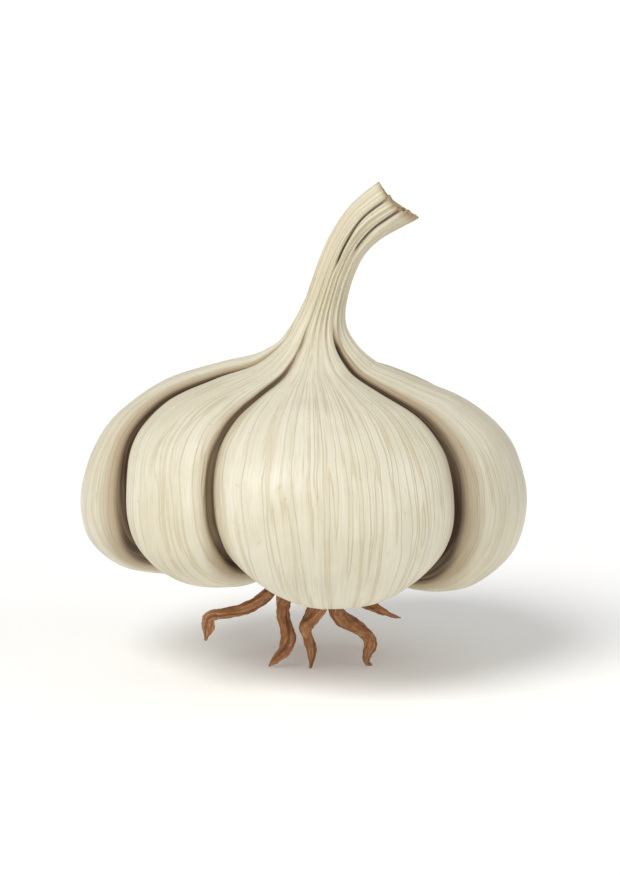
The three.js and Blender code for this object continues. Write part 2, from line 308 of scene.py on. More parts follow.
# Veins and pleats run up the sheet's columns, so they follow the lobes. The ring makes a
# pattern run on across the place where the sheet closes.
SKIN_LUMPS = [(11, 0.28, 1), (4.5, 0.10, 2)]
STREAK_STRETCH = 0.16  # the smaller, the longer the stretches between their bends
VEINS = 40
VEIN_HEIGHT = 0.08
VEIN_WANDER = [(0.4, 0.05, 3)]
PLEATS = [(23, 0.5, 0), (37, 0.3, 1.3)]  # how many, share of the height, how far round
PLEAT_HEIGHT = 0.27
PLEAT_WANDER = [(0.45, 0.09, 5), (0.12, 0.03, 6)]
GATHERS = 41  # round the root plate
GATHER_HEIGHT = 0.2
vein_turn = azimuth[BODY_ROWS // 2] * np.ones_like(turn)
ring = np.stack([np.cos(vein_turn), np.sin(vein_turn), np.zeros_like(turn)], axis=2)
streak = np.stack([ring[:, :, 0], ring[:, :, 1], STREAK_STRETCH * rise], axis=2)
on_body = smooth(0.1, 0.3, rise) * (1 - smooth(0.75, 0.95, rise))
at_shoulders = smooth(0.68, 0.98, rise) * (1 - 0.55 * smooth(1.1, 1.9, rise))
at_plate = (1 - smooth(0.08, 0.24, rise)) * smooth(0, 0.05, rise)
relief = uneven(shape, SKIN_LUMPS) * smooth(0, 0.1, rise) * (1 - 0.8 * smooth(0.9, 1.2, rise))
veins = (0.5 + 0.5 * np.cos(VEINS * (vein_turn + uneven(streak, VEIN_WANDER)))) ** 2
veins *= VEIN_HEIGHT * (0.35 + 0.65 * smooth(-0.2, 0.5, drift(streak, 0.12, 4)))
pleat_turn = vein_turn + uneven(streak, PLEAT_WANDER)
pleats = sum(part * np.cos(count * pleat_turn + shift) for count, part, shift in PLEATS)
gathers = np.cos(GATHERS * pleat_turn)
relief += veins * on_body + PLEAT_HEIGHT * pleats * at_shoulders + GATHER_HEIGHT * gathers * at_plate


def degrees_past(line):
    """How many degrees each point is round from a line that is given by its azimuths."""
    return (np.degrees(turn) - line + 180) % 360 - 180


# Two sheaths end in a free edge, which runs up the skin and lies over the one below it.
LAPS = [  # azimuth at the cut, lean down to the neck's foot, reach, height, where it begins
    (150, 25, 90, 0.34, 0.72),
    (236, -12, 50, 0.28, 0.95),
]
LAP_EDGE = 1.2  # half the width of the step up, in degrees like the azimuth and the reach
LAP_FADE = 0.15  # over how much rise it comes up
for cut_azimuth, lean, reach, lap_height, begins in LAPS:
    away = degrees_past(cut_azimuth + lean * (2 - rise))
    lap = smooth(-LAP_EDGE, LAP_EDGE, away) * (1 - smooth(0.15 * reach, reach, away))
    relief += lap_height * lap * smooth(begins, begins + LAP_FADE, rise)

# The skin is pinched between the cloves.
PINCH_DEPTH = 0.55
PINCH_WIDTH = 0.035  # as a share of half a lobe
CREASE_TOPS = np.array([0.96, 1.12, 0.96, 0.96, 0.96, 0.96, 0.93])  # the rise each ends at
crease_top = CREASE_TOPS[(lobe_of + (across > 0)) % len(LOBES)]
pinch = np.exp(-((1 - np.abs(across)) / PINCH_WIDTH) ** 2) * smooth(0.04, 0.2, rise)
relief -= PINCH_DEPTH * pinch * (1 - smooth(crease_top - 0.08, crease_top + 0.06, rise))

# The neck is folded lengthwise, with a raised lip along one side of each fold.
NECK_FOLDS = [  # azimuths from its low end to the cut, where it begins, width and depth
    ((-9, -13, -21, -23), 1.56, 0.26, 0.5),
    ((26, 24, 20, 16), 1.67, 0.24, 0.45),
    ((-112, -104, -98, -95), 1.35, 0.26, 0.35),
    ((150, 146, 140, 138), 1.30, 0.26, 0.45),
    ((205, 212, 220, 224), 1.45, 0.26, 0.35),
]
FOLDED_WIDTH = 3  # the neck's half width where it is folded, in round figures
LIP_PLACE = 2.2  # how far beside the fold, in the fold's own widths, as LIP_WIDTH is
LIP_WIDTH = 1.4
LIP_HEIGHT = 0.45  # as a share of the fold's depth
folds = np.zeros_like(turn)
for azimuths, begins, width, depth in NECK_FOLDS:
    share = (row_rise - begins) / (2 - begins)
    line = along(np.array(azimuths, float)[:, None], share)
    beside = np.radians(degrees_past(line)) * FOLDED_WIDTH / width
    shown = smooth(-0.04, 0.22, share)[:, None]
    fold = shown * np.exp(-beside**2)
    lip = shown * np.exp(-((beside - LIP_PLACE) / LIP_WIDTH) ** 2)
    folds += fold
    relief += depth * (LIP_HEIGHT * lip - fold)
shape = shape + outward(shape) * relief[:, :, None]

# The rim of the cut end is ragged. Inside it come the thin wall and the hollow's bottom.
RIM_RAGS = [(0.35, 0.16, 7), (0.11, 0.05, 8)]
HOLLOW = [  # share of the neck's half width, and depth below the cut
    (0.93, 0.05), (0.88, 0.35), (0.84, 1.2), (0.78, 2.2), (0.6, 2.9), (0.3, 3.1), (0.0, 3.1),
]
shape[-1] += uneven(ring[-1:], RIM_RAGS)[0][:, None] * CUT_WAY
at_cut = np.ones(1)
hollow = [neck_rows(at_cut, turn[-1], share, sink) for share, sink in HOLLOW]
seat = body[:1].copy()
seat[:, :, 2] = SEAT_TOP
pole = np.zeros_like(seat) + np.array([AXIS, 0, SEAT_TOP])
skin_places = np.concatenate([pole, seat, shape, *hollow])


def whole_skin(values, in_seat, in_hollow):
    """Values for every row of the skin, from those for its outside."""
    columns = len(across)
    return np.concatenate([
        np.full((2, columns), in_seat), values, np.full((len(hollow), columns), in_hollow)])


def set_mark(piece, name, values):
    """Writes one value for each of a mesh's points, which its material can read."""
    kind, field = ("FLOAT_VECTOR", "vector") if values.ndim == 3 else ("FLOAT", "value")
    attribute = piece.data.attributes.new(name, kind, "POINT")
    attribute.data.foreach_set(field, values.reshape(-1))


SAME_PLACE = 2e-7  # points that are nearer than this, in metres, become one


def wrapped_sheet(name, places, **marks):
    """A sheet of mesh wrapped round through places, by row and column, in millimetres.
    Rows that come to one point close the sheet. Its marks are by row and column too."""
    rows, columns = places.shape[:2]
    bpy.ops.object.select_all(action="DESELECT")
    bpy.ops.mesh.primitive_grid_add(x_subdivisions=columns, y_subdivisions=rows - 1, size=1)
    piece = bpy.context.object
    piece.name = piece.data.name = name
    closed = np.concatenate([places, places[:, :1]], axis=1) * MM
    piece.data.vertices.foreach_set("co", closed.reshape(-1))
    for mark, values in marks.items():
        set_mark(piece, mark, np.concatenate([values, values[:, :1]], axis=1))
    bpy.ops.object.mode_set(mode="EDIT")
    bpy.ops.mesh.select_all(action="SELECT")
    bpy.ops.mesh.remove_doubles(threshold=SAME_PLACE)
    bpy.ops.object.mode_set(mode="OBJECT")
    bpy.ops.object.shade_smooth()
    return piece


# Dust and painted shade lie beside the creases. On three sides of lobes they lie further
# out, two of them all the way up and all three low down.
DUST_AND_SHADE_SIDES = [  # lobe, its side, how much further all the way up, and how much low down
    (1, -1, 2.1, 1.45),
    (5, 1, 2.1, 1.6),
    (6, 1, 1.0, 2.2),
]
dust_and_shade_reach = np.ones(len(across))
low_dust_and_shade_reach = np.ones(len(across))
for lobe, side, all_the_way, at_foot in DUST_AND_SHADE_SIDES:
    there = (lobe_of == lobe) & (across * side > 0)
    dust_and_shade_reach[there] = all_the_way
    low_dust_and_shade_reach[there] = at_foot
skin_rise = whole_skin(rise, 0, 2.05)
low_down = 1 - smooth(0.26, 0.44, skin_rise)
crease = 1 - whole_skin(swelling, 1, 1) ** (dust_and_shade_reach * (1 + (low_dust_and_shade_reach - 1) * low_down))
below_top = 1 - smooth(crease_top - 0.12, crease_top, skin_rise)
# How far round from its own azimuth each point's vein has been drawn aside.
skin_azimuth = np.arctan2(skin_places[:, :, 0] - AXIS, -skin_places[:, :, 1])
vein_shift = (vein_turn[:1] - skin_azimuth + np.pi) % (2 * np.pi) - np.pi
GRAIN_STRETCH = 0.06
skin = wrapped_sheet(
    "skin", skin_places,
    grain=ring[:1] + np.array([0, 0, GRAIN_STRETCH]) * skin_rise[:, :, None],
    rise=skin_rise,
    shift=vein_shift,
    crease=crease,
    # gap marks where painted shade fills the crease between two lobes
    gap=smooth(0.78, 0.92, crease) * below_top,
    fold=whole_skin(folds, 0, 0),
)


def add(tree, kind, at=None, **settings):
    """Adds a shader node. Settings are its own, and at sets or links its inputs."""
    made = tree.nodes.new(kind)
    for name, value in settings.items():
        setattr(made, name, value)
    for name, value in (at or {}).items():
        if isinstance(value, bpy.types.NodeSocket):
            tree.links.new(value, made.inputs[name])
        else:
            made.inputs[name].default_value = value
    return made


def mark_of(tree, name, kind="Fac"):
    """Reads a mark that the mesh carries, as a number or as a Vector."""
    return add(tree, "ShaderNodeAttribute", attribute_name=name).outputs[kind]


def ramp(tree, value, low, high, out_low=0.0, out_high=1.0):
    """A smooth rise from out_low to out_high as value goes from low to high."""
    return add(tree, "ShaderNodeMapRange", {0: value, 1: low, 2: high, 3: out_low, 4: out_high},
               interpolation_type="SMOOTHSTEP").outputs[0]


def maths(tree, operation, *values):
    """One sum or function of one to three values."""
    return add(tree, "ShaderNodeMath", dict(enumerate(values)), operation=operation).outputs[0]


def blend(tree, share, first, second):
    """Goes from the first value to the second as share goes from 0 to 1."""
    return add(tree, "ShaderNodeMix", {0: share, 2: first, 3: second}).outputs[0]


def cloud(tree, place, scale, detail, roughness=0.5, **settings):
    """Soft noise from 0 to 1. The larger the scale is, the smaller are its lumps."""
    at = {"Vector": place, "Scale": scale, "Detail": detail, "Roughness": roughness}
    return add(tree, "ShaderNodeTexNoise", at, **settings).outputs["Fac"]


def srgb(red, green, blue):
    """A colour given as on a screen, from 0 to 255, as the shaders take it."""
    def linear(value):
        value /= 255
        return value / 12.92 if value <= 0.04045 else ((value + 0.055) / 1.055) ** 2.4
    return (linear(red), linear(green), linear(blue), 1)


def stain(tree, base, colour, where, most=1.0):
    """Lays a colour over another: none of it where the mask is 0, the most where it is 1."""
    share = maths(tree, "MULTIPLY", where, most)
    return add(tree, "ShaderNodeMix", {0: share, 6: base, 7: srgb(*colour)},
               data_type="RGBA").outputs[2]


def grown_streaks():
    """Thin lines that run the way the sheaths grew, out of a stretched noise."""
    group = bpy.data.node_groups.new("streaks", "ShaderNodeTree")
    for name, kind in (("Vector", "Vector"), ("Scale", "Float"), ("Width", "Float")):
        group.interface.new_socket(name, in_out="INPUT", socket_type="NodeSocket" + kind)
    for name in ("Lines", "Soft"):
        group.interface.new_socket(name, in_out="OUTPUT", socket_type="NodeSocketFloat")
    given = group.nodes.new("NodeGroupInput").outputs
    wave = cloud(group, given["Vector"], given["Scale"], 1.5, 0.55)
    away = maths(group, "ABSOLUTE", maths(group, "SUBTRACT", wave, 0.5))
    line = ramp(group, maths(group, "DIVIDE", away, given["Width"]), 0.0, 1.0, 1.0, 0.0)
    add(group, "NodeGroupOutput", {"Lines": line, "Soft": wave})
    return group


streaks = grown_streaks()


def streaked(tree, vector, scale, width):
    """Places the streaks in a material and returns their lines and their soft bands."""
    made = add(tree, "ShaderNodeGroup", node_tree=streaks)
    tree.links.new(vector, made.inputs["Vector"])
    made.inputs["Scale"].default_value = scale
    made.inputs["Width"].default_value = width
    return made.outputs["Lines"], made.outputs["Soft"]


def new_material(name):
    """A new material, its nodes, and the inputs of its shader."""
    material = bpy.data.materials.new(name)
    material.use_nodes = True
    return material, material.node_tree, material.node_tree.nodes["Principled BSDF"].inputs


def surface(tree, shader, colour, roughness, relief, strength, depth):
    """Links a material's colour, its roughness and its fine relief, depth in millimetres."""
    bump = add(tree, "ShaderNodeBump", {
        "Height": relief, "Strength": strength, "Distance": depth * MM})
    tree.links.new(colour, shader["Base Color"])
    tree.links.new(roughness, shader["Roughness"])
    tree.links.new(bump.outputs["Normal"], shader["Normal"])


def skin_grain(tree, place, rise):
    """Where each spot lies across and along the veins. On the head it is worked out at each
    spot, so that the veins run smoothly over the faces. In the neck, where the sheet leans
    over, it is read from the mesh."""
    x, y, _ = add(tree, "ShaderNodeSeparateXYZ", {0: place}).outputs
    x_from_axis = maths(tree, "SUBTRACT", x, AXIS * MM)
    azimuth = maths(tree, "ARCTAN2", x_from_axis, maths(tree, "MULTIPLY", y, -1))
    vein = maths(tree, "ADD", azimuth, mark_of(tree, "shift"))
    on_head = add(tree, "ShaderNodeCombineXYZ", {
        0: maths(tree, "COSINE", vein),
        1: maths(tree, "SINE", vein),
        2: maths(tree, "MULTIPLY", rise, GRAIN_STRETCH),
    }).outputs[0]
    straight = add(tree, "ShaderNodeMix", {
        0: ramp(tree, rise, 0.85, 0.98),
        4: on_head,
        5: mark_of(tree, "grain", "Vector"),
    }, data_type="VECTOR").outputs[1]
    wander = add(tree, "ShaderNodeTexNoise", {"Vector": place, "Scale": 75, "Detail": 2})
    return add(tree, "ShaderNodeVectorMath", {
        0: wander.outputs["Color"], 1: (0.045, 0.045, 0), 2: straight,
    }, operation="MULTIPLY_ADD").outputs[0]


def dry_skin_material():
    """Dry papery sheath: cream, finely veined, dusty and darkened with painted shade in the
    creases and the neck's folds, darker at both ends.
    """
    material, tree, shader = new_material("dry_skin")
    rise = mark_of(tree, "rise")
    crease = mark_of(tree, "crease")
    gap = mark_of(tree, "gap")
    fold = mark_of(tree, "fold")
    place = add(tree, "ShaderNodeTexCoord").outputs["Object"]
    grain = skin_grain(tree, place, rise)
    patches = cloud(tree, place, 70, 4, 0.6)
    specks = cloud(tree, place, 900, 2)
    worn = ramp(tree, cloud(tree, place, 120, 3, 0.6), 0.4, 0.62)
    head_fibres, head_fibre_bands = streaked(tree, grain, 62, 0.09)
    head_veins, head_bands = streaked(tree, grain, 22, 0.045)
    neck_veins, neck_bands = streaked(tree, grain, 7, 0.05)
    # Where the sheet narrows to the neck, only the coarser streaks are wide enough to see.
    in_neck = ramp(tree, rise, 0.9, 1.15)
    fibres = blend(tree, in_neck, head_fibres, head_veins)
    fibre_bands = blend(tree, in_neck, head_fibre_bands, head_bands)
    veins = blend(tree, in_neck, head_veins, neck_veins)
    bands = blend(tree, in_neck, head_bands, neck_bands)

    colour = stain(tree, srgb(223, 217, 197), (213, 206, 182), ramp(tree, patches, 0.35, 0.65))
    pale = ramp(tree, bands, 0.45, 0.7)
    colour = stain(tree, colour, (236, 232, 217), pale, ramp(tree, worn, 0, 1, 0.1, 0.3))
    colour = stain(tree, colour, (190, 174, 136), veins, ramp(tree, worn, 0, 1, 0.5, 0.22))
    colour = stain(tree, colour, (186, 172, 135), fibres, ramp(tree, worn, 0, 1, 0.1, 0.24))
    colour = stain(tree, colour, (176, 150, 106), ramp(tree, specks, 0.68, 0.76), 0.25)
    # Dust and painted shade beside the creases, reaching further on some sides and low down.
    colour = stain(tree, colour, (150, 122, 80), ramp(tree, crease, 0.38, 0.82), 0.7)
    # Painted shade in the gaps between lobes, broken by lighter fibres.
    in_gap = ramp(tree, fibre_bands, 0.35, 0.65, 0.98, 0.78)
    colour = stain(tree, colour, (64, 44, 25), gap, in_gap)
    at_foot = ramp(tree, bands, 0.25, 0.6, 0.4, 0.95)
    colour = stain(tree, colour, (136, 100, 62), ramp(tree, rise, 0.17, 0.02), at_foot)
    colour = stain(tree, colour, (210, 196, 158), ramp(tree, rise, 1.0, 1.6), 0.3)
    # Painted shade in the neck's folds.
    colour = stain(tree, colour, (78, 58, 34), ramp(tree, fold, 0.35, 0.85), 0.8)
    colour = stain(tree, colour, (158, 124, 78), ramp(tree, rise, 1.95, 2.0), 0.7)

    gloss = ramp(tree, patches, 0.3, 0.7, 0.44, 0.6)
    roughness = maths(tree, "MULTIPLY_ADD", gap, 0.35, gloss)
    crinkle = cloud(tree, place, 190, 4, noise_type="RIDGED_MULTIFRACTAL")
    relief = maths(tree, "MULTIPLY", veins, 0.5)
    relief = maths(tree, "MULTIPLY_ADD", fibre_bands, 0.6, relief)
    relief = maths(tree, "MULTIPLY_ADD", maths(tree, "MULTIPLY", crinkle, worn), 0.5, relief)
    surface(tree, shader, colour, roughness, relief, 0.6, 0.2)
    shader["Subsurface Weight"].default_value = 0.12
    shader["Subsurface Radius"].default_value = (1.0, 0.7, 0.4)
    shader["Subsurface Scale"].default_value = 2.5 * MM
    shader["Specular IOR Level"].default_value = 0.42
    return material


dry_skin = dry_skin_material()
skin.data.materials.append(dry_skin)
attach(skin, "root")
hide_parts("bulb")

# ---- Sheath ends in the neck ----------------------------------------------------------
# Inside the cut end of the neck, the ends of the inner leaf sheaths: thin rolled layers
# round a shrunken stalk. They were cut with the neck, then dried and curled out of round.

END_COLUMNS = 120
END_FOOT = 2.8  # how far below the cut a layer reaches
SHEATH_WALL = 0.09  # as a share of the neck's half width
SHEATH_TEARS = 0.22
SHEATH_ENDS = [  # share of the neck's half width, depth of the edge, how far it wavers, seed
    (0.79, 0.25, 0.035, 11),
    (0.62, 0.55, 0.05, 12),
    (0.45, 0.4, 0.06, 13),
]
STALK_ROWS = [  # share of the neck's half width, and depth below the cut
    (0.0, 2.9), (0.27, 2.8), (0.26, 1.6), (0.25, 0.8), (0.18, 0.6), (0.08, 0.85), (0.0, 0.95),
]
STALK_WAVER = 0.045
STALK_SEED = 17
STALK_TEARS = 0.1


def circle(columns):
    """Azimuths evenly round a circle, and the row of places on it, one unit out."""
    azimuths = np.linspace(0, 2 * np.pi, columns, endpoint=False)
    return azimuths, np.stack([np.cos(azimuths), np.sin(azimuths), 0 * azimuths], axis=1)[None]


end_turn, end_ring = circle(END_COLUMNS)


def cut_row(share, depth, waver, seed, torn):
    """A row across the neck, below its cut end by depth, out of round and torn as given."""
    bent = waver * (np.cos(2 * end_turn + 2 * seed) + 0.6 * np.cos(3 * end_turn + seed))
    bent = bent + 0.6 * waver * drift(end_ring, 0.35, seed)[0]
    row = neck_rows(at_cut, end_turn, share + bent * (share > 0), depth)[0]
    aside = share * 2 * waver * np.array([math.sin(seed), math.cos(seed), 0])
    tears = torn * drift(end_ring, 0.12, seed + 5)[0]
    return row + aside + tears[:, None] * CUT_WAY


def sheath_piece(name, places, waver, seed, torn):
    """A layer or the stalk, wrapped through rows that are given by their share of the half
    width and depth. It is torn near the cut, and where the share is 0 it comes to a point."""
    rows = []
    for share, depth in places:
        row = cut_row(share, depth, waver, seed, torn * (depth < 1))
        rows.append(row if share > 0 else row * 0 + row.mean(axis=0))
    depths = np.array([depth for _, depth in places])
    # The rise falls off below the edge, so the edge is stained like the neck's rim.
    piece = wrapped_sheet(
        name, np.array(rows),
        grain=np.tile(end_ring, (len(rows), 1, 1)),
        rise=np.tile(2.0 - 0.03 * smooth(0.2, 0.9, depths)[:, None], (1, END_COLUMNS)),
    )
    piece.data.materials.append(dry_skin)
    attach(piece, "root")


for number, (share, depth, waver, seed) in enumerate(SHEATH_ENDS, 1):
    depths = [END_FOOT, 1.9, 1.1, depth + 0.12]
    outside = [(share, sink) for sink in depths]
    inside = [(share - SHEATH_WALL, sink) for sink in reversed(depths)]
    edge = [(share - part * SHEATH_WALL, depth) for part in (0.2, 0.8)]
    places = [*outside, *edge, *inside, outside[0]]
    sheath_piece(f"sheath_end_{number}", places, waver, seed, SHEATH_TEARS)
sheath_piece("stalk_end", STALK_ROWS, STALK_WAVER, STALK_SEED, STALK_TEARS)

# ---- Torn hem of the skin -------------------------------------------------------------
# Where the sheaths end at the root plate they have torn into two thin frills, brown with
# soil. One comes down round the plate's rim, and the other lies back against the skin.

HEM_COLUMNS = 400
HEM_STEPS = 15
HEM_WALL = 0.08
HEMS = [  # name, distance from the axis and height down to the edge, reach, unevenness, seed
    ("skin_hem_inner", [
        (8.1, 15.4), (8.2, 14.8), (8.2, 14.3), (8.1, 13.85), (7.9, 13.45), (7.55, 13.1), (7.2, 12.9),
    ], 0.72, 0.4, 31),
    ("skin_hem_outer", [
        (8.15, 15.4), (8.25, 14.8), (8.45, 14.35), (8.8, 14.0), (9.25, 13.75), (9.75, 13.55),
        (10.3, 13.3),
    ], 0.74, 0.5, 41),
]
HEM_GRAIN_STRETCH = 0.05
TEAR_DEPTH = 0.35  # as a share of the whole profile, as SHORTEST is
SHORTEST = 0.22
WAVE_HEIGHT = 0.26
RIPPLE_HEIGHT = 0.07


def soiled_hem_material():
    """Torn sheath at the root plate: thin, matt and brown with soil, paler at its edge."""
    material, tree, shader = new_material("soiled_hem")
    to_edge = mark_of(tree, "reach")
    fibres, bands = streaked(tree, mark_of(tree, "grain", "Vector"), 34, 0.1)
    colour = stain(tree, srgb(158, 126, 88), (120, 88, 54), ramp(tree, bands, 0.4, 0.62))
    colour = stain(tree, colour, (188, 164, 124), ramp(tree, to_edge, 0.3, 1.0), 0.6)
    colour = stain(tree, colour, (92, 66, 40), fibres, 0.6)
    surface(tree, shader, colour, ramp(tree, bands, 0.3, 0.7, 0.75, 0.95), bands, 0.5, 0.1)
    shader["Specular IOR Level"].default_value = 0.15
    return material


soiled_hem = soiled_hem_material()
hem_turn, hem_ring = circle(HEM_COLUMNS)
hem_rings = np.repeat(hem_ring, HEM_STEPS, axis=0)
for name, hem_profile, hem_reach, unevenness, seed in HEMS:
    tears = smooth(0.15, 0.4, drift(hem_ring, 0.09, seed + 3)[0])
    wander = drift(hem_ring, 0.3, seed)[0] + 0.5 * drift(hem_ring, 0.05, seed + 1)[0]
    edge = hem_reach + unevenness * wander - TEAR_DEPTH * tears
    share = np.linspace(0, 1, HEM_STEPS)[:, None] * np.clip(edge, SHORTEST, 1)
    line = along(hem_profile, share.reshape(-1)).reshape(*share.shape, 2)
    waves = WAVE_HEIGHT * drift(hem_rings, 0.13, seed + 2)
    ripple = share * (waves + RIPPLE_HEIGHT * drift(hem_rings, 0.04, seed + 4))
    radius, height = line[:, :, 0] + ripple, line[:, :, 1] - 0.6 * ripple
    inside = round_axis(hem_turn, radius - HEM_WALL, height)
    outside = round_axis(hem_turn, radius, height)
    places = np.concatenate([inside, outside[::-1], inside[:1]])
    share = np.concatenate([share, share[::-1], share[:1]])
    grain = hem_ring + np.array([0, 0, HEM_GRAIN_STRETCH]) * share[:, :, None]
    hem = wrapped_sheet(name, places, grain=grain, reach=share)
    hem.data.materials.append(soiled_hem)
    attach(hem, "root")

# ---- Root plate -----------------------------------------------------------------------
# The corky disc under the bulb, the dried stem that cloves and roots grow from. It is
# drawn down from a disc ring by ring, then roughened into lumps, grit and cracks.

PLATE_SIDES = 48
PLATE_TOP = 15.5
PLATE_RINGS = [  # radius and height, from the rim to the middle of the underside
    (8.05, 15.1), (8.0, 14.4), (7.75, 13.8), (7.2, 13.35), (6.5, 13.1), (5.6, 12.95),
    (4.6, 12.85), (3.5, 12.8), (2.3, 12.85), (1.1, 12.95),
]
PLATE_SMOOTHNESS = 3
PLATE_ROUGHNESS = [  # name, kind of texture, size of its lumps and height, in millimetres
    ("cork_lumps", "CLOUDS", 1.5, 0.5),
    ("cork_grit", "CLOUDS", 0.45, 0.28),
    ("cork_cracks", "VORONOI", 1.1, -0.35),
]
CORK_STAINS = [  # colour, fineness of its noise, where it begins and is full, how much, relief
    ((118, 88, 56), 260, 0.42, 0.6, 0.8, 1.0),
    ((196, 168, 126), 700, 0.55, 0.7, 0.6, 0.5),
    ((70, 52, 34), 1500, 0.58, 0.7, 0.7, 0.5),
]


def roughen(piece, name, kind, size, height):
    """Pushes a piece's surface in and out by a texture whose lumps are as large as size."""
    texture = bpy.data.textures.new(name, kind)
    texture.noise_scale = size * MM
    displace = piece.modifiers.new(name, "DISPLACE")
    displace.texture = texture
    displace.strength = height * MM
    bpy.ops.object.modifier_apply(modifier=name)


def finish_mesh(piece):
    """Turns a piece's faces outwards, puts its origin at the frame's and shades it smooth."""
    bpy.ops.object.mode_set(mode="EDIT")
    bpy.ops.mesh.select_all(action="SELECT")
    bpy.ops.mesh.normals_make_consistent(inside=False)
    bpy.ops.object.mode_set(mode="OBJECT")
    bpy.ops.object.transform_apply(location=True, rotation=True, scale=True)
    bpy.ops.object.shade_smooth()


def cork_material():
    """Dry cork: brown and matt, with darker patches, paler crumbs and soil in its pores."""
    material, tree, shader = new_material("cork")
    place = add(tree, "ShaderNodeTexCoord").outputs["Object"]
    colour = srgb(158, 124, 84)
    relief = 0.0
    for stain_colour, fineness, low, high, most, height in CORK_STAINS:
        lumps = cloud(tree, place, fineness, 5, 0.65)
        colour = stain(tree, colour, stain_colour, ramp(tree, lumps, low, high), most)
        relief = maths(tree, "MULTIPLY_ADD", lumps, height, relief)
    surface(tree, shader, colour, ramp(tree, relief, 0.4, 1.2, 0.75, 0.95), relief, 0.8, 0.25)
    shader["Specular IOR Level"].default_value = 0.25
    return material


bpy.ops.object.select_all(action="DESELECT")
bpy.ops.mesh.primitive_circle_add(
    vertices=PLATE_SIDES, radius=PLATE_RINGS[0][0] * MM, fill_type="NGON",
    location=(AXIS * MM, 0, PLATE_TOP * MM))
plate = bpy.context.object
plate.name = plate.data.name = "root_plate_cork"
bpy.ops.object.mode_set(mode="EDIT")
bpy.ops.mesh.select_all(action="SELECT")
last_radius, last_height = PLATE_RINGS[0][0], PLATE_TOP
for ring_radius, ring_height in PLATE_RINGS:
    down = (0, 0, (ring_height - last_height) * MM)
    bpy.ops.mesh.extrude_region_move(TRANSFORM_OT_translate={"value": down})
    narrower = ring_radius / last_radius
    bpy.ops.transform.resize(
        value=(narrower, narrower, 1), center_override=(AXIS * MM, 0, ring_height * MM))
    last_radius, last_height = ring_radius, ring_height
bpy.ops.object.mode_set(mode="OBJECT")
rounding = plate.modifiers.new("rounding", "SUBSURF")
rounding.levels = PLATE_SMOOTHNESS
bpy.ops.object.modifier_apply(modifier="rounding")
finish_mesh(plate)
for name, kind, size, height in PLATE_ROUGHNESS:
    roughen(plate, name, kind, size, height)
cork = cork_material()
plate.data.materials.append(cork)
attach(plate, "root")
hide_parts("root_plate")

# ---- Stubs of old roots ---------------------------------------------------------------
# Round the plate stand the short stubs of the other roots, which broke off when the bulb
# was cleaned. Each is a small cone with its wide end in the cork, and no two are alike.

STUB_RINGS = [  # distance from the axis, how many, how far they lean out, in degrees
    (7.0, 26, 34),
    (5.3, 17, 14),
    (3.2, 9, 6),
]
STUB_HEIGHT = 12.6  # of each one's middle, above the table
STUB_SIDES = 10
chance = random.Random(4)
bpy.ops.object.select_all(action="DESELECT")
stubs = []
for out, count, lean in STUB_RINGS:
    for number in range(count):
        where = 2 * math.pi * (number + chance.uniform(-0.3, 0.3)) / count
        reach = out + chance.uniform(-0.5, 0.5)
        length = chance.uniform(1.0, 2.3)
        thick_end = chance.uniform(0.42, 0.62)
        thin_end = chance.uniform(0.2, 0.42)
        tilt = math.radians(180 - lean + chance.uniform(-12, 12))
        x, y = AXIS * MM + reach * MM * math.sin(where), -reach * MM * math.cos(where)
        bpy.ops.mesh.primitive_cone_add(
            vertices=STUB_SIDES, radius1=thick_end * MM, radius2=thin_end * MM,
            depth=length * MM, end_fill_type="TRIFAN",
            location=(x, y, STUB_HEIGHT * MM), rotation=(tilt, 0, where))
        stubs.append(bpy.context.object)
for stub in stubs:
    stub.select_set(True)
bpy.ops.object.join()
root_stubs = bpy.context.object
root_stubs.name = root_stubs.data.name = "root_stubs"
bpy.ops.object.transform_apply(location=True, rotation=True, scale=True)
bpy.ops.object.mode_set(mode="EDIT")
bpy.ops.mesh.select_all(action="SELECT")
bpy.ops.mesh.subdivide(number_cuts=2)
bpy.ops.object.mode_set(mode="OBJECT")
roughen(root_stubs, "stub_lumps", "CLOUDS", 0.5, 0.3)
finish_mesh(root_stubs)
root_stubs.data.materials.append(cork)
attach(root_stubs, "root")

# ---- Roots ----------------------------------------------------------------------------
# Eight dried roots, left on when the bulb was trimmed. They are wiry, flattened and
# furrowed lengthwise, kinked where they met stones, and each runs out to a torn point. Six
# of the points touch the table.

